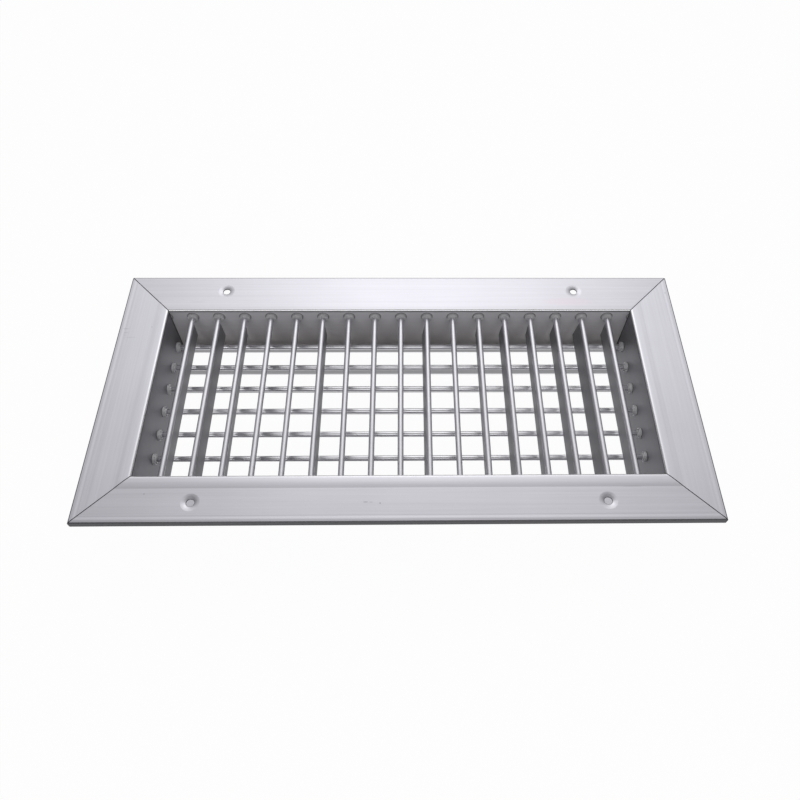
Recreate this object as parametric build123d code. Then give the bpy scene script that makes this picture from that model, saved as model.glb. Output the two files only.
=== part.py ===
from build123d import *
import math
import os

# Double deflection supply grille, lying face up on the rear edge of its neck.
# X runs along the long side, Y along the short side, +Z out of the face, in millimetres.
# The origin is the centre of the neck's rear edge.

# Overall sizes
overall_width = 400.05
overall_height = 196.85
frame_depth = 52.0

# Section of the frame extrusion, in from its outer edge and down from its face
neck_setback = 29.65
wall_thickness = 1.6
sight_nib = 0.7
sight_nib_depth = 2.2
sight_round = 1.3
face_thickness = 1.6
lip_depth = 4.6
lip_thickness = 1.5
outer_round = 1.0
outer_bead_width = 4.4
outer_bead_height = 0.06
sight_bead_width = 9.0
sight_bead_height = 0.22

# Corner keys and the channel that holds them behind the face
channel_inset = 7.5
channel_width = 12.5
channel_rib = 1.0
channel_hook = 1.5
channel_hook_thickness = 0.8
key_thickness = 1.5
key_leg = 42.0
key_clearance = 0.05
mitre_gap = 0.6

# Screw holes in the two long members, each in the middle of a soft dish
screw_spacing_x = 257.2
screw_spacing_y = 169.7
screw_hole_radius = 2.5
dish_radius = 6.5
dish_depth = 0.8
dish_waist_radius = 4.0
dish_waist_depth = 0.27

# Blades: a round nose that turns about its centre, narrowing behind into a thin tapering tail
front_end_room = 16.375
rear_end_room = 10.025
nose_radius = 1.95
nose_back = 2.4
blade_reach = 16.5
blade_root_thickness = 1.6
blade_tail_thickness = 1.0
front_pivot_drop = 8.2
rear_pivot_drop = 32.1

# Nylon bushes on the inside of the walls, each meeting the end of one nose
bush_radius = 3.75
bush_thickness = 2.6
nose_end_clearance = 0.1
tail_setback = 4.5

# The bush collar that has slid out along its nose, counted from the top on the right side
loose_collar_row = 6
loose_collar_offset = 3.5
loose_collar_thickness = 0.8
collar_clearance = 0.1

# Angles at which the blades were left, in degrees from straight.
# Front blades from the left, plus is tail to the right; rear blades from the top, plus is tail up.
front_rest_angles = [-1.5, 4.5, -4.5, -8.5, -6, 3.5, -3.5, -2, 0, -9.5, 1.5, -2, -7, -3, -5.5, -11.5, -3.5]
rear_rest_angles = [23.5, 18, 25.5, 25, 24.5, 24, 25]

# Sizes that follow from those above
wall_inset = neck_setback + wall_thickness
flange_width = wall_inset + sight_nib
opening_width = overall_width - 2 * wall_inset
opening_height = overall_height - 2 * wall_inset
flat_drop = sight_bead_height
front_pivot_z = frame_depth - front_pivot_drop
rear_pivot_z = frame_depth - rear_pivot_drop
nose_setback = bush_thickness + nose_end_clearance
nose_sweep_radius = math.hypot(blade_root_thickness / 2, nose_back)
key_top_z = frame_depth - face_thickness - key_clearance
channel_depth = key_thickness + 2 * key_clearance
hook_drop = face_thickness + channel_depth
rib_drop = hook_drop + channel_hook_thickness


def even_row(span, end_room, count):
    """Pivot places spread evenly along an opening, end_room in from each wall, from the low end up."""
    pitch = (span - 2 * end_room) / (count - 1)
    return [end_room - span / 2 + i * pitch for i in range(count)]


def frame_section(half_span):
    """Section of the extrusion, with the outer edge half_span from the middle of the grille."""

    def at(inset, drop):
        return (inset - half_span, frame_depth - drop)

    corner_share = 1 - math.sqrt(0.5)
    outer_mid = outer_round * corner_share
    sight_mid = sight_round * corner_share
    sight_edge = flange_width - sight_round
    sight_bead_start = flange_width - sight_bead_width
    neck_face = wall_inset - wall_thickness
    channel_end = channel_inset + channel_width
    with BuildSketch(Plane.YZ) as section:
        with BuildLine():
            ThreePointArc(
                at(0, flat_drop + outer_round),
                at(outer_mid, flat_drop + outer_mid),
                at(outer_round, flat_drop),
            )
            ThreePointArc(
                at(outer_round, flat_drop),
                at((outer_round + outer_bead_width) / 2, flat_drop - outer_bead_height),
                at(outer_bead_width, flat_drop),
            )
            Line(at(outer_bead_width, flat_drop), at(sight_bead_start, flat_drop))
            ThreePointArc(
                at(sight_bead_start, flat_drop),
                at((sight_bead_start + sight_edge) / 2, 0),
                at(sight_edge, flat_drop),
            )
            ThreePointArc(
                at(sight_edge, flat_drop),
                at(flange_width - sight_mid, flat_drop + sight_mid),
                at(flange_width, flat_drop + sight_round),
            )
            Polyline(
                at(flange_width, flat_drop + sight_round),
                at(flange_width, sight_nib_depth),
                at(wall_inset, sight_nib_depth),
                at(wall_inset, frame_depth),
                at(neck_face, frame_depth),
                at(neck_face, face_thickness),
                at(channel_end + channel_rib, face_thickness),
                at(channel_end + channel_rib, rib_drop),
                at(channel_end - channel_hook, rib_drop),
                at(channel_end - channel_hook, hook_drop),
                at(channel_end, hook_drop),
                at(channel_end, face_thickness),
                at(channel_inset, face_thickness),
                at(channel_inset, hook_drop),
                at(channel_inset + channel_hook, hook_drop),
                at(channel_inset + channel_hook, rib_drop),
                at(channel_inset - channel_rib, rib_drop),
                at(channel_inset - channel_rib, face_thickness),
                at(lip_thickness, face_thickness),
                at(lip_thickness, lip_depth),
                at(0, lip_depth),
                at(0, flat_drop + outer_round),
            )
        make_face()
    return section.sketch


def frame_member(length, half_span, turn):
    """One mitred side of the frame, made along the bottom edge and turned into place about +Z."""
    bar = extrude(frame_section(half_span), length / 2, both=True)
    half = (length - mitre_gap) / 2
    trim = Polygon(
        (-half, -half_span),
        (half, -half_span),
        (half - flange_width, flange_width - half_span),
        (flange_width - half, flange_width - half_span),
        align=None,
    )
    return Rot(0, 0, turn) * (bar & extrude(trim, frame_depth))


def screw_hole(x, y):
    """Cutter for one screw hole and its dish, down from the flat of the face."""
    with BuildSketch(Plane.XZ) as dish_outline:
        with BuildLine():
            ThreePointArc(
                (screw_hole_radius, -dish_depth),
                (dish_waist_radius, -dish_waist_depth),
                (dish_radius, 0),
            )
            Polyline((dish_radius, 0), (0, 0), (0, -dish_depth), (screw_hole_radius, -dish_depth))
        make_face()
    dish = revolve(dish_outline.sketch, Axis.Z)
    drill = Cylinder(screw_hole_radius, 2 * frame_depth)
    return Pos(x, y, frame_depth - flat_drop) * (dish + drill)


def corner_key(side_x, side_y):
    """Flat L-shaped key that lies in the channels of two members at a corner."""
    near = channel_inset + key_clearance
    far = channel_inset + channel_width - key_clearance
    end = near + key_leg
    outline = [(near, near), (end, near), (end, far), (far, far), (far, end), (near, end)]
    placed = [(side_x * (overall_width / 2 - a), side_y * (overall_height / 2 - b)) for a, b in outline]
    plate = make_face(Polyline(*placed, close=True))
    return Pos(0, 0, key_top_z) * extrude(plate, key_thickness, dir=(0, 0, -1))


def blade(span, rest_angle):
    """A blade along local Y with its pivot on the local Y axis and its tail down, turned by rest_angle."""
    root = blade_root_thickness / 2
    tip = blade_tail_thickness / 2
    with BuildSketch(Plane.XZ) as nose_outline:
        with BuildLine():
            ThreePointArc((-nose_radius, 0), (0, nose_radius), (nose_radius, 0))
            Polyline((nose_radius, 0), (root, -nose_back), (-root, -nose_back), (-nose_radius, 0))
        make_face()
    with BuildSketch(Plane.XZ) as tail_outline:
        with BuildLine():
            Polyline(
                (-root, -nose_back),
                (root, -nose_back),
                (tip, -blade_reach),
                (-tip, -blade_reach),
                close=True,
            )
        make_face()
    nose = extrude(nose_outline.sketch, span / 2 - nose_setback, both=True)
    tail = extrude(tail_outline.sketch, span / 2 - tail_setback, both=True)
    return Rot(0, -rest_angle, 0) * (nose + tail)


def bush():
    """Bush standing on the wall at z = 0."""
    return Cylinder(bush_radius, bush_thickness, align=(Align.CENTER, Align.CENTER, Align.MIN))


def loose_collar():
    """Collar around the nose, off the wall at z = 0."""
    base = (Align.CENTER, Align.CENTER, Align.MIN)
    blank = Cylinder(bush_radius, loose_collar_thickness, align=base)
    bore = Cylinder(nose_sweep_radius + collar_clearance, loose_collar_thickness, align=base)
    return Pos(0, 0, loose_collar_offset) * (blank - bore)


front_places = even_row(opening_width, front_end_room, len(front_rest_angles))
rear_places = even_row(opening_height, rear_end_room, len(rear_rest_angles))[::-1]
half_width = overall_width / 2
half_height = overall_height / 2

parts = {
    "frame_bottom": frame_member(overall_width, half_height, 0),
    "frame_right": frame_member(overall_height, half_width, 90),
    "frame_top": frame_member(overall_width, half_height, 180),
    "frame_left": frame_member(overall_height, half_width, -90),
}
for name, side_y in (("frame_bottom", -1), ("frame_top", 1)):
    for side_x in (-1, 1):
        parts[name] -= screw_hole(side_x * screw_spacing_x / 2, side_y * screw_spacing_y / 2)

for row_name, side_y in (("bottom", -1), ("top", 1)):
    for column_name, side_x in (("left", -1), ("right", 1)):
        parts[f"corner_key_{row_name}_{column_name}"] = corner_key(side_x, side_y)

for i, (x, rest) in enumerate(zip(front_places, front_rest_angles)):
    parts[f"front_blade_{i + 1:02d}"] = Pos(x, 0, front_pivot_z) * blade(opening_height, rest)

for i, (y, rest) in enumerate(zip(rear_places, rear_rest_angles)):
    along_x = Pos(0, y, rear_pivot_z) * Rot(0, 0, 90)
    parts[f"rear_blade_{i + 1}"] = along_x * blade(opening_width, rest)

front_bushes = []
for x in front_places:
    for side_y in (-1, 1):
        wall = Pos(x, side_y * opening_height / 2, front_pivot_z) * Rot(side_y * 90, 0, 0)
        front_bushes.append(wall * bush())
parts["front_bushes"] = Compound(children=front_bushes)

rear_bushes = []
for i, y in enumerate(rear_places):
    for side_x in (-1, 1):
        wall = Pos(side_x * opening_width / 2, y, rear_pivot_z) * Rot(0, -side_x * 90, 0)
        rear_bushes.append(wall * bush())
        if side_x > 0 and i + 1 == loose_collar_row:
            rear_bushes.append(wall * loose_collar())
parts["rear_bushes"] = Compound(children=rear_bushes)

os.makedirs("parts", exist_ok=True)
for name, part in parts.items():
    export_step(part, f"parts/{name}.step")
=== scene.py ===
import math

import bpy
from mathutils import Matrix, Vector


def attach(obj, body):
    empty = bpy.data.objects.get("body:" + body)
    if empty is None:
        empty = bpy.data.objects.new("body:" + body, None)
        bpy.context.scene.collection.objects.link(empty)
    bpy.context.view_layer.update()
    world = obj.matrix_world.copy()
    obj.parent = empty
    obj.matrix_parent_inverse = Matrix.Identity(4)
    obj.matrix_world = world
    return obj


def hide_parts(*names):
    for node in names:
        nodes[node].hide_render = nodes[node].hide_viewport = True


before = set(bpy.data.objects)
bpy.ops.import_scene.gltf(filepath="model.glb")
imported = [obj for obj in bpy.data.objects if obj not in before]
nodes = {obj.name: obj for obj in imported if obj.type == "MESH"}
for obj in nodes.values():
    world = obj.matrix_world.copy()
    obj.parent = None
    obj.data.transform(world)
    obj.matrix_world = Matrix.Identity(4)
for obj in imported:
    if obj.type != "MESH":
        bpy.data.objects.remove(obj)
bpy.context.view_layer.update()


class Value:
    """One output of a graph's nodes, used in plain sums."""

    def __init__(self, graph, socket):
        self.graph = graph
        self.socket = socket

    def math(self, operation, *inputs):
        return self.graph.node("ShaderNodeMath", {"operation": operation}, dict(enumerate(inputs)))

    def __add__(self, other):
        return self.math("ADD", self, other)

    def __sub__(self, other):
        return self.math("SUBTRACT", self, other)

    def __rsub__(self, other):
        return self.math("SUBTRACT", other, self)

    def __mul__(self, other):
        return self.math("MULTIPLY", self, other)

    def __truediv__(self, other):
        return self.math("DIVIDE", self, other)

    def __pow__(self, other):
        return self.math("POWER", self, other)

    __radd__ = __add__

    def size(self):
        return self.math("ABSOLUTE", self)

    def higher(self, other):
        return self.math("MAXIMUM", self, other)

    def wrap(self, length):
        """What is left over past whole lengths."""
        return self.math("FLOORED_MODULO", self, length)

    def arccosine(self):
        return self.math("ARCCOSINE", self)

    def ramp(self, low, high, start=0.0, end=1.0):
        """A smooth step from start, where the value is low, to end, where it is high."""
        settings = {"interpolation_type": "SMOOTHSTEP"}
        return self.graph.node("ShaderNodeMapRange", settings, {0: self, 1: low, 2: high, 3: start, 4: end})


class Graph:
    """The nodes of a material or of the world."""

    def __init__(self, tree):
        self.tree = tree

    def node(self, kind, settings=None, sockets=None, output=0):
        made = self.tree.nodes.new(kind)
        for key, value in (settings or {}).items():
            setattr(made, key, value)
        for key, value in (sockets or {}).items():
            self.feed(made.inputs[key], value)
        return Value(self, made.outputs[output]) if len(made.outputs) else None

    def feed(self, socket, value):
        if isinstance(value, Value):
            self.tree.links.new(value.socket, socket)
        else:
            socket.default_value = value


class Finish(Graph):
    """A material, with its shader and the nodes that feed it."""

    def __init__(self, name, **constants):
        self.material = bpy.data.materials.new(name)
        self.material.use_nodes = True
        super().__init__(self.material.node_tree)
        self.shader = self.tree.nodes["Principled BSDF"]
        for socket, value in constants.items():
            self.set(socket.replace("_", " "), value)
        self.place = self.node("ShaderNodeTexCoord", output="Object")

    def set(self, socket, value):
        self.feed(self.shader.inputs[socket], value)

    def axes(self):
        return [self.node("ShaderNodeSeparateXYZ", sockets={0: self.place}, output=i) for i in range(3)]

    def noise(self, scale, detail):
        """Cloudy value around 0.5, with scale in lumps per metre along X, Y and Z."""
        scaled = self.node("ShaderNodeMapping", sockets={"Vector": self.place, "Scale": scale})
        sockets = {"Vector": scaled, "Scale": 1.0, "Detail": detail, "Roughness": 0.5}
        return self.node("ShaderNodeTexNoise", sockets=sockets)

    def blend(self, share, low, high):
        """Colour from low to high."""
        return self.node("ShaderNodeMix", {"data_type": "RGBA"}, {0: share, 6: low, 7: high}, 2)

    def bump(self, height):
        """Normal for a height in metres."""
        return self.node("ShaderNodeBump", sockets={"Height": height, "Distance": 1.0, "Strength": 1.0})


def grey(level, blue=1.0):
    return (level, level, level * blue, 1.0)


# Camera, solved from the corners of the frame in the photograph
IMAGE_SIDE = 800
FOCAL_PIXELS = 712.644
CENTRE_PIXEL = (419.150, 402.364)
CAMERA_PLACE = Vector((0.003926, -0.268447, 0.453760))
LOOK_DOWN = math.radians(57.5445)
LOOK_ASIDE = math.radians(1.9052)
CAMERA_ROLL = math.radians(1.4429)
SENSOR_WIDTH = 36.0


def add_camera():
    forward = Vector((
        math.sin(LOOK_ASIDE) * math.cos(LOOK_DOWN),
        math.cos(LOOK_ASIDE) * math.cos(LOOK_DOWN),
        -math.sin(LOOK_DOWN),
    ))
    level = Vector((math.cos(LOOK_ASIDE), -math.sin(LOOK_ASIDE), 0.0))
    upright = level.cross(forward)
    across = math.cos(CAMERA_ROLL) * level + math.sin(CAMERA_ROLL) * upright
    upward = math.cos(CAMERA_ROLL) * upright - math.sin(CAMERA_ROLL) * level
    lens = bpy.data.cameras.new("camera")
    lens.sensor_width = SENSOR_WIDTH
    lens.lens = FOCAL_PIXELS / IMAGE_SIDE * SENSOR_WIDTH
    lens.shift_x = (IMAGE_SIDE / 2 - CENTRE_PIXEL[0]) / IMAGE_SIDE
    lens.shift_y = (CENTRE_PIXEL[1] - IMAGE_SIDE / 2) / IMAGE_SIDE
    lens.clip_start = 0.01
    camera = bpy.data.objects.new("camera", lens)
    turn = Matrix((across, upward, -forward)).transposed().to_4x4()
    camera.matrix_world = Matrix.Translation(CAMERA_PLACE) @ turn
    bpy.context.scene.collection.objects.link(camera)
    bpy.context.scene.camera = camera


# Floor and light
FLOOR_HALF = 6.0
FLOOR_DROP = 0.0002
FLOOR_GREY = 0.8
FLOOR_WHITE = 0.97
FLOOR_WHITE_IN_METAL = 0.75
FLOOR_RAYS = (
    ("Is Camera Ray", FLOOR_WHITE),
    ("Is Transmission Ray", FLOOR_WHITE),
    ("Is Glossy Ray", FLOOR_WHITE_IN_METAL),
)
LIGHT_AXIS_ASIDE = math.radians(2)
LIGHT_AXIS_UP = math.radians(40)
ROOM_LEVEL = 0.23
GLOW_LEVEL = 0.9
GLOW_OUTSIDE = math.radians(62)
GLOW_INSIDE = math.radians(18)
LAMP_TARGET = (0, 0, 0.05)
# Each lamp's name, place, width, height and level
LAMPS = (
    ("soft_box", (0.02, 0.62, 0.67), 0.44, 0.40, 0.4),
    ("soft_box_edge", (0.02, 0.60, 0.70), 0.85, 0.6, 0.3),
    ("front_box", (0.02, -0.94, 0.86), 1.6, 0.85, 1.1),
)


def add_floor():
    """Pale floor that shows white to the camera and in reflections."""
    bpy.ops.object.select_all(action="DESELECT")
    bpy.ops.mesh.primitive_plane_add(size=2 * FLOOR_HALF, location=(0, 0, -FLOOR_DROP))
    floor = bpy.context.active_object
    floor.name = "floor"
    material = bpy.data.materials.new("pale_floor")
    material.use_nodes = True
    graph = Graph(material.node_tree)
    graph.tree.nodes.clear()
    shown = graph.node("ShaderNodeBsdfDiffuse", sockets={"Color": grey(FLOOR_GREY)})
    white = graph.node("ShaderNodeEmission")
    for ray, share in FLOOR_RAYS:
        lit = graph.node("ShaderNodeLightPath", output=ray) * share
        shown = graph.node("ShaderNodeMixShader", sockets={0: lit, 1: shown, 2: white})
    graph.node("ShaderNodeOutputMaterial", sockets={"Surface": shown})
    floor.data.materials.append(material)


def add_lamp(name, place, target, width, height, level):
    """Soft box whose face shows the given level."""
    data = bpy.data.lights.new(name, "AREA")
    data.shape = "RECTANGLE"
    data.size = width
    data.size_y = height
    data.energy = level * math.pi * width * height
    lamp = bpy.data.objects.new(name, data)
    aim = Vector(target) - Vector(place)
    lamp.rotation_euler = aim.to_track_quat("-Z", "Y").to_euler()
    lamp.location = place
    bpy.context.scene.collection.objects.link(lamp)


def add_light():
    """Soft light from behind and above, falling off to the level of the room."""
    world = bpy.data.worlds.new("studio")
    world.use_nodes = True
    graph = Graph(world.node_tree)
    graph.tree.nodes.clear()
    axis = (
        math.sin(LIGHT_AXIS_ASIDE) * math.cos(LIGHT_AXIS_UP),
        math.cos(LIGHT_AXIS_ASIDE) * math.cos(LIGHT_AXIS_UP),
        math.sin(LIGHT_AXIS_UP),
    )
    way = graph.node("ShaderNodeTexCoord", output="Generated")
    turned = graph.node("ShaderNodeVectorMath", {"operation": "DOT_PRODUCT"}, {0: way, 1: axis}, "Value")
    share = turned.arccosine().ramp(GLOW_INSIDE, GLOW_OUTSIDE, 1.0, 0.0)
    room = graph.node("ShaderNodeBackground", sockets={"Color": grey(1.0), "Strength": ROOM_LEVEL})
    glow = graph.node("ShaderNodeBackground", sockets={"Color": grey(1.0), "Strength": GLOW_LEVEL})
    both = graph.node("ShaderNodeMixShader", sockets={0: share, 1: room, 2: glow})
    graph.node("ShaderNodeOutputWorld", sockets={"Surface": both})
    bpy.context.scene.world = world
    for name, place, width, height, level in LAMPS:
        add_lamp(name, place, LAMP_TARGET, width, height, level)


# Sizes of the solids that the finishes and the bushes follow
HALF_WIDTH = 0.200025
HALF_HEIGHT = 0.098425
WALL_X = 0.168775
WALL_Y = 0.067175
FLANGE_WIDTH = 0.03195
BEAD_MIDDLE = 0.0268
BEAD_HALF = 0.00385
PITCH = 0.01905
FRONT_COUNT = 17
REAR_COUNT = 7
FRONT_PIVOT_Z = 0.0438
REAR_PIVOT_Z = 0.0199
HOLE_X = 0.1286
HOLE_Y = 0.08485
BUSH_RADIUS = 0.00375
ALONG_X, ALONG_Y = 0, 1

# Tones. The long and short frame members are one aluminium, the short ones painted lighter than the long
# ones for how the light falls on each
LONG_BASE_SHADED = (0.678, 0.67, 0.72)
SHORT_BASE_LIT = (0.722, 0.715, 0.77)
FRONT_BLADE_BASE = (0.76, 0.755, 0.80)
# The rear blades are the blade aluminium painted lighter, as painted light deep in the opening
REAR_BLADE_BASE_LIT = (0.86, 0.855, 0.89)
KEY_BASE = (0.45, 0.45, 0.46)
# Colour of painted shade, on the blade tails and on the frame's walls, the band just below its face and its
# lip
PAINTED_SHADE_TONE = (0.03, 0.03, 0.033, 1.0)
# Colour of marks of handling and dark mitres, and of the painted shadow round the bushes and in the screw
# bores
WEAR_AND_SHADE_TONE = (0.07, 0.07, 0.075, 1.0)
# Colour of the painted highlight along the sight edge
SIGHT_HIGHLIGHT_TONE = (0.92, 0.92, 0.94, 1.0)
# Colour of the painted pink reflection
PINK_TONE = (0.80, 0.55, 0.66, 1.0)
# Pale haze on the inner walls, which towards their foot is painted light from below
HAZE_AND_FOOT_LIGHT_TONE = (0.90, 0.87, 0.85, 1.0)

# Roughness
FRAME_ROUGHNESS = 0.34
FRONT_BLADE_ROUGHNESS = 0.34
REAR_BLADE_ROUGHNESS = 0.28
KEY_ROUGHNESS = 0.45
DULL_ROUGHER = 0.24
WEAR_AND_SHADE_ROUGHER = 0.2
SIGHT_SMOOTHER = 0.1


def spot(x, y, place, half):
    """1 in the middle of a soft oval spot and 0 outside it."""
    across = (x - place[0]) / half[0]
    along = (y - place[1]) / half[1]
    return (across * across + along * along).ramp(0.15, 1.0, 1.0, 0.0)


# Aluminium with fine drawn lines along its length, in lumps per metre across and along them
THREAD_LUMPS = (800.0, 9.0)
BAND_LUMPS = (260.0, 3.0)
CLOUD_LUMPS = (22.0, 22.0, 22.0)
LINE_DEPTH = 0.000008


def drawn_lines(finish, along):
    """Fine threads, broader bands and soft clouds."""
    lines = []
    for across, lengthwise in (THREAD_LUMPS, BAND_LUMPS):
        scale = [across, across, across]
        scale[along] = lengthwise
        lines.append(finish.noise(scale, 2.0))
    return *lines, finish.noise(CLOUD_LUMPS, 3.0)


def drawn_metal(finish, base, thread, band, cloud):
    share = 0.5 + (thread - 0.5) * 0.8 + (band - 0.5) * 0.7 + (cloud - 0.5) * 0.4
    dark = (*(c * 0.88 for c in base), 1.0)
    light = (*(c * 1.10 for c in base), 1.0)
    return finish.blend(share, dark, light)


def line_roughness(thread, band):
    """What the drawn lines add to the roughness."""
    return (band - 0.5) * 0.10 + (thread - 0.5) * 0.08


def key_aluminium(name):
    finish = Finish(name, Metallic=1.0)
    thread, band, cloud = drawn_lines(finish, ALONG_X)
    finish.set("Base Color", drawn_metal(finish, KEY_BASE, thread, band, cloud))
    finish.set("Roughness", KEY_ROUGHNESS + line_roughness(thread, band))
    finish.set("Normal", finish.bump(thread * LINE_DEPTH))
    return finish.material


# Blades, by how far a point lies below the pivot, with painted shade down the tail
TAIL_START = (0.0012, 0.0026)
TAIL_END = (0.0132, 0.0140)
TAIL_SHADE = 0.56


def blade_aluminium(name, along, pivot_z, base, roughness, tail_end):
    """Bright on the nose, with painted shade and more roughness down the tail; tail_end is how much of the
    painted shade is lifted at its end line, and so how bright that line shows.
    """
    finish = Finish(name, Metallic=1.0)
    thread, band, cloud = drawn_lines(finish, along)
    drop = pivot_z - finish.axes()[2]
    # painted shade down the tail, lifted at its end line as far as tail_end says
    painted_shade = drop.ramp(*TAIL_START) * (1 - drop.ramp(*TAIL_END, 0.0, tail_end))
    metal = drawn_metal(finish, base, thread, band, cloud)
    finish.set("Base Color", finish.blend(painted_shade * TAIL_SHADE, metal, PAINTED_SHADE_TONE))
    finish.set("Roughness", roughness + painted_shade * DULL_ROUGHER + line_roughness(thread, band))
    finish.set("Normal", finish.bump(thread * LINE_DEPTH))
    return finish.material


# Frame: heights, and distances in from its outer edge, between which the finish and the painted light and
# shade change
FACE_Z = (0.0505, 0.0511)
SHADE_Z = (0.0497, 0.0499)
WALL_Z = (0.0, 0.0495)
HAZE_Z = (0.006, 0.046)
LIP_INSET = (0.0006, 0.0012)
INSIDE_INSET = (0.0300, 0.0305)
SIGHT_INSET = (FLANGE_WIDTH - 0.0020, FLANGE_WIDTH - 0.0002)
MITRE_HALF = (0.00025, 0.0006)
NEAR_SIDE_Y = (-0.01, 0.01)

# How strongly it changes, with the painted shade, highlight and light
LONG_WALL_SHADE = (0.0, 0.0)
SHORT_WALL_SHADE = (0.68, 0.5)
SHADE_DULL = 0.75
LIP_SHADE = 0.86
WALL_HAZE = 0.85
HAZE_AND_LIGHT_AT_FOOT, HAZE_AT_TOP = 1.0, 0.2
SIGHT_PAINTED_HIGHLIGHT = 0.85
MITRE_WORN = 0.9
SEAT_SHADOW = 0.7
BORE_SHADE = 0.8

# Soft bump: the rolled sight edge, the eased bead and two grooves along the outer edge
SIGHT_ROLL = 0.0002
LONG_BEAD_EASE = 0.00003
SHORT_BEAD_EASE = 0.00015
# Each groove's inset, half width and depth
EDGE_GROOVES = ((0.0012, 0.0011, 0.00003), (0.0039, 0.0014, 0.000035))

# Marks of handling, and a painted pink reflection: each one's x, y, half sizes and strength
LONG_MARKS = (
    (-0.0213, -0.0852, 0.0019, 0.0004, 0.40),
    (-0.0180, -0.0853, 0.0014, 0.0003, 0.30),
    (-0.0124, -0.0860, 0.0006, 0.0006, 0.40),
    (-0.1575, -0.0791, 0.0006, 0.0006, 0.30),
    (0.1450, -0.0754, 0.0080, 0.0005, 0.12),
    (-0.1476, 0.0744, 0.0065, 0.0005, 0.10),
)
SHORT_MARKS = (
    (-0.1771, 0.0513, 0.0006, 0.0006, 0.22),
    (0.1968, 0.0830, 0.0006, 0.0007, 0.30),
    (-0.1952, 0.0497, 0.0030, 0.0004, 0.22),
    (-0.1943, 0.0462, 0.0022, 0.0005, 0.14),
    (-0.1946, 0.0441, 0.0016, 0.0004, 0.12),
    (-0.1905, 0.0421, 0.0058, 0.0004, 0.10),
)
PINK_REFLECTION_SPOTS = ((0.124, 0.0745, 0.022, 0.005, 0.16),)

# Painted shadow lines round the front bushes, and painted shade in the bores of the screw holes
SEAT_GAP = 0.0003
SEAT_HALF = (0.0001, 0.0006)
BORE_EDGE = (0.0025, 0.0030)


def distance(across, along):
    return (across * across + along * along) ** 0.5


def bush_seat_shadows(x, z):
    """A painted shadow line round each front bush."""
    across = ((x / PITCH + 0.5).wrap(1.0) - 0.5) * PITCH
    radius = distance(across, z - FRONT_PIVOT_Z)
    return (radius - BUSH_RADIUS - SEAT_GAP).size().ramp(*SEAT_HALF, 1.0, 0.0)


def hole_bore_shade(x, y):
    """1 at the bores of the screw holes, where shade is painted, and 0 beyond the foot of their dishes."""
    return distance(x.size() - HOLE_X, y.size() - HOLE_Y).ramp(*BORE_EDGE, 1.0, 0.0)


def frame_aluminium(name, along, base, wall_shade, marks, reflection_spots=()):
    """Satin on the face, with painted shade on the walls and the lip, a painted highlight on the sight edge
    and dark mitres.
    """
    finish = Finish(name, Metallic=1.0)
    thread, band, cloud = drawn_lines(finish, along)
    x, y, z = finish.axes()
    from_long = HALF_HEIGHT - y.size()
    from_short = HALF_WIDTH - x.size()
    inset = from_long if along == ALONG_X else from_short
    face = z.ramp(*FACE_Z)
    shade = z.ramp(*SHADE_Z) * (1 - face)
    lip = inset.ramp(*LIP_INSET, 1.0, 0.0)
    wall = z.ramp(*WALL_Z, *wall_shade) * (1 - face)
    # painted shade on the walls, darker towards the foot on the short members, in a band just below the
    # face and on the outer lip
    painted_shade = wall.higher(shade * SHADE_DULL).higher(lip * LIP_SHADE)
    sight = inset.ramp(*SIGHT_INSET)
    wear_and_shade = (from_long - from_short).size().ramp(*MITRE_HALF, 1.0, 0.0) * MITRE_WORN
    for mark_x, mark_y, half_x, half_y, depth in marks:
        wear_and_shade = wear_and_shade.higher(spot(x, y, (mark_x, mark_y), (half_x, half_y)) * face * depth)
    metal = drawn_metal(finish, base, thread, band, cloud)
    for reflection_x, reflection_y, half_x, half_y, depth in reflection_spots:
        # painted pink reflection on the far flange
        painted_pink = spot(x, y, (reflection_x, reflection_y), (half_x, half_y)) * face * depth
        metal = finish.blend(painted_pink, metal, PINK_TONE)
    # painted highlight along the sight edge
    metal = finish.blend(sight * face * SIGHT_PAINTED_HIGHLIGHT, metal, SIGHT_HIGHLIGHT_TONE)
    rolled = 1.0
    bead_ease = SHORT_BEAD_EASE
    if along == ALONG_X:
        rolled = y.ramp(*NEAR_SIDE_Y, 1.0, 0.0)
        bead_ease = LONG_BEAD_EASE
        inside = inset.ramp(*INSIDE_INSET)
        haze = inside * (1 - face)
        finish.set("Metallic", 1 - haze * WALL_HAZE)
        # a pale, less metallic haze on the inner walls of the long members, heaviest at the foot, where it
        # is painted light from below
        metal = finish.blend(z.ramp(*HAZE_Z, HAZE_AND_LIGHT_AT_FOOT, HAZE_AT_TOP) * haze, metal, HAZE_AND_FOOT_LIGHT_TONE)
        # painted shadow round each front bush and painted shade in the screw bores
        wear_and_shade = wear_and_shade.higher(bush_seat_shadows(x, z) * inside * SEAT_SHADOW)
        wear_and_shade = wear_and_shade.higher(hole_bore_shade(x, y) * BORE_SHADE)
    metal = finish.blend(painted_shade, metal, PAINTED_SHADE_TONE)
    finish.set("Base Color", finish.blend(wear_and_shade, metal, WEAR_AND_SHADE_TONE))
    rough = FRAME_ROUGHNESS + line_roughness(thread, band) + (1 - face) * DULL_ROUGHER
    finish.set("Roughness", rough + wear_and_shade * WEAR_AND_SHADE_ROUGHER - sight * face * SIGHT_SMOOTHER)
    bead = (inset - BEAD_MIDDLE) / BEAD_HALF
    eased = (1 - bead * bead).higher(0.0) * bead_ease
    height = thread * LINE_DEPTH - sight * rolled * SIGHT_ROLL - eased
    for place, half, depth in EDGE_GROOVES:
        height = height - ((inset - place).size() / half).ramp(0.0, 1.0, depth, 0.0)
    finish.set("Normal", finish.bump(height))
    return finish.material


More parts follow.
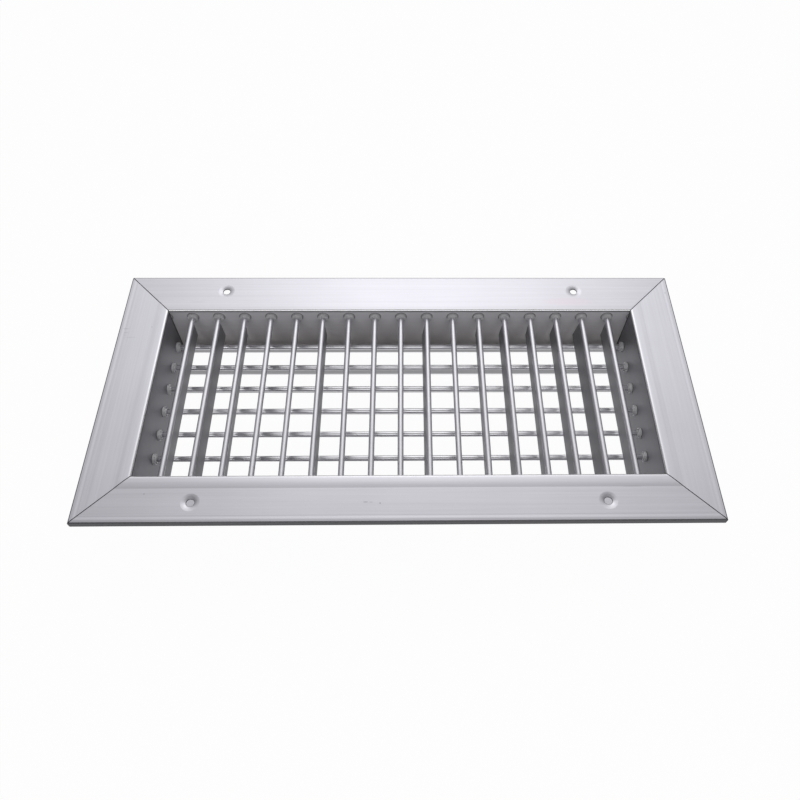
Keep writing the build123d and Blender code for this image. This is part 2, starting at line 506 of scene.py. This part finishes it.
# Bushes: a collar with a rim, a sunk ring and a hub that meets the nose of the blade
# One nylon in two tones: the front row painted darker as painted shade, the rear row painted lighter as
# painted light
FRONT_NYLON_SHADED = (0.56, 0.68)
REAR_NYLON_LIT = (0.92, 0.97)
NYLON_BLUE = 1.03
NYLON_LUMPS = (300.0, 300.0, 300.0)
FRONT_BUSH_THICKNESS = 0.0024
REAR_BUSH_THICKNESS = 0.0018
BUSH_RIM = 0.0005
BUSH_SINK = 0.0004
HUB_RADIUS = 0.0024
HUB_LENGTH = 0.0026
ROUND_SIDES = 36
EDGE_ROUND = 0.00012
SHARP_ANGLE = math.radians(40)
LOOSE_COLLAR_ROW = 6
LOOSE_COLLAR_OFFSET = 0.0032
LOOSE_COLLAR_THICKNESS = 0.0008
LOOSE_COLLAR_BORE = 0.00275
LOOSE_COLLAR_LEAN = math.radians(-9)
LOOSE_BUSH_RISE = 0.0008


def nylon(name, low, high):
    finish = Finish(
        name,
        Roughness=0.34,
        Subsurface_Weight=0.3,
        Subsurface_Scale=0.0005,
        Subsurface_Radius=(1.0, 1.0, 1.0),
    )
    cloud = finish.noise(NYLON_LUMPS, 2.0)
    finish.set("Base Color", finish.blend(cloud, grey(low, NYLON_BLUE), grey(high, NYLON_BLUE)))
    return finish.material


def pick_faces(piece, test):
    """Only the faces that pass the test, picked in edit mode."""
    bpy.ops.object.mode_set(mode="EDIT")
    bpy.ops.mesh.select_mode(type="FACE")
    bpy.ops.mesh.select_all(action="DESELECT")
    bpy.ops.object.mode_set(mode="OBJECT")
    for face in piece.data.polygons:
        face.select = test(face)
    bpy.ops.object.mode_set(mode="EDIT")


def push(distance):
    bpy.ops.mesh.extrude_region_move(TRANSFORM_OT_translate={"value": (0, 0, distance)})


def round_edges(piece):
    bevel = piece.modifiers.new("edges", "BEVEL")
    bevel.width = EDGE_ROUND
    bevel.segments = 2
    bevel.limit_method = "ANGLE"
    bevel.angle_limit = SHARP_ANGLE
    bpy.ops.object.modifier_apply(modifier=bevel.name)
    bpy.ops.object.shade_smooth_by_angle(angle=SHARP_ANGLE)


def make_bush(thickness):
    bpy.ops.object.select_all(action="DESELECT")
    bpy.ops.mesh.primitive_cylinder_add(
        vertices=ROUND_SIDES, radius=BUSH_RADIUS, depth=thickness, location=(0, 0, thickness / 2))
    piece = bpy.context.active_object
    bpy.ops.object.transform_apply(location=True)
    pick_faces(piece, lambda face: face.normal.z > 0.9)
    bpy.ops.mesh.inset(thickness=BUSH_RIM)
    push(-BUSH_SINK)
    bpy.ops.mesh.inset(thickness=BUSH_RADIUS - BUSH_RIM - HUB_RADIUS)
    push(HUB_LENGTH - thickness + BUSH_SINK)
    bpy.ops.object.mode_set(mode="OBJECT")
    round_edges(piece)
    return piece


def make_loose_collar():
    bpy.ops.object.select_all(action="DESELECT")
    bpy.ops.mesh.primitive_circle_add(vertices=ROUND_SIDES, radius=LOOSE_COLLAR_BORE)
    piece = bpy.context.active_object
    bpy.ops.object.mode_set(mode="EDIT")
    bpy.ops.mesh.select_all(action="SELECT")
    bpy.ops.mesh.extrude_region_move()
    wider = BUSH_RADIUS / LOOSE_COLLAR_BORE
    bpy.ops.transform.resize(value=(wider, wider, 1), center_override=(0, 0, 0))
    bpy.ops.object.mode_set(mode="OBJECT")
    thick = piece.modifiers.new("thickness", "SOLIDIFY")
    thick.thickness = LOOSE_COLLAR_THICKNESS
    thick.offset = 0
    bpy.ops.object.modifier_apply(modifier=thick.name)
    round_edges(piece)
    return piece


def wall_places():
    """Where each bush stands on its wall, with +Z into the opening: front row, then rear row."""
    front = []
    rear = []
    for i in range(FRONT_COUNT):
        x = (i - (FRONT_COUNT - 1) / 2) * PITCH
        for side in (-1, 1):
            turn = Matrix.Rotation(side * math.pi / 2, 4, "X")
            front.append(Matrix.Translation((x, side * WALL_Y, FRONT_PIVOT_Z)) @ turn)
    for i in range(REAR_COUNT):
        y = ((REAR_COUNT - 1) / 2 - i) * PITCH
        for side in (-1, 1):
            turn = Matrix.Rotation(-side * math.pi / 2, 4, "Y")
            rear.append(Matrix.Translation((side * WALL_X, y, REAR_PIVOT_Z)) @ turn)
    return front, rear


def copy_to(piece, place):
    made = piece.copy()
    made.data = piece.data.copy()
    made.data.transform(place)
    bpy.context.scene.collection.objects.link(made)
    return made


def join_row(name, pieces, replaced, material):
    bpy.ops.object.select_all(action="DESELECT")
    for piece in pieces:
        piece.select_set(True)
    bpy.context.view_layer.objects.active = pieces[0]
    bpy.ops.object.join()
    row = pieces[0]
    row.name = name
    row.data.materials.clear()
    row.data.materials.append(material)
    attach(row, "frame")
    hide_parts(replaced)


def add_bushes():
    front_bush = make_bush(FRONT_BUSH_THICKNESS)
    rear_bush = make_bush(REAR_BUSH_THICKNESS)
    collar = make_loose_collar()
    front, rear = wall_places()
    loose = rear[2 * (LOOSE_COLLAR_ROW - 1) + 1]
    lean = Matrix.Rotation(LOOSE_COLLAR_LEAN, 4, "Y")
    front_pieces = [copy_to(front_bush, place) for place in front]
    rear_pieces = [copy_to(rear_bush, place) for place in rear if place is not loose]
    rear_pieces.append(copy_to(rear_bush, loose @ Matrix.Translation((LOOSE_BUSH_RISE, 0, 0))))
    rear_pieces.append(copy_to(collar, loose @ Matrix.Translation((0, 0, LOOSE_COLLAR_OFFSET)) @ lean))
    for pattern in (front_bush, rear_bush, collar):
        bpy.data.objects.remove(pattern)
    join_row("front_bush_row", front_pieces, "front_bushes", nylon("front_bush_nylon_shaded", *FRONT_NYLON_SHADED))
    join_row("rear_bush_row", rear_pieces, "rear_bushes", nylon("rear_bush_nylon_lit", *REAR_NYLON_LIT))


def dress(names, material):
    for name in names:
        mesh = nodes[name].data
        mesh.materials.clear()
        mesh.materials.append(material)


def named(start):
    return sorted(name for name in nodes if name.startswith(start))


def dress_all():
    dress(
        ["frame_top", "frame_bottom"],
        frame_aluminium("frame_long_aluminium", ALONG_X, LONG_BASE_SHADED, LONG_WALL_SHADE, LONG_MARKS, PINK_REFLECTION_SPOTS),
    )
    dress(
        ["frame_left", "frame_right"],
        frame_aluminium("frame_short_aluminium", ALONG_Y, SHORT_BASE_LIT, SHORT_WALL_SHADE, SHORT_MARKS),
    )
    dress(
        named("front_blade"),
        blade_aluminium(
            "front_blade_aluminium", ALONG_Y, FRONT_PIVOT_Z, FRONT_BLADE_BASE, FRONT_BLADE_ROUGHNESS, 0.0),
    )
    dress(
        named("rear_blade"),
        blade_aluminium(
            "rear_blade_aluminium", ALONG_X, REAR_PIVOT_Z, REAR_BLADE_BASE_LIT, REAR_BLADE_ROUGHNESS, 1.0),
    )
    dress(named("corner_key"), key_aluminium("corner_key_aluminium"))


add_camera()
add_floor()
add_light()
dress_all()
add_bushes()

bpy.context.scene.view_settings.view_transform = "Standard"
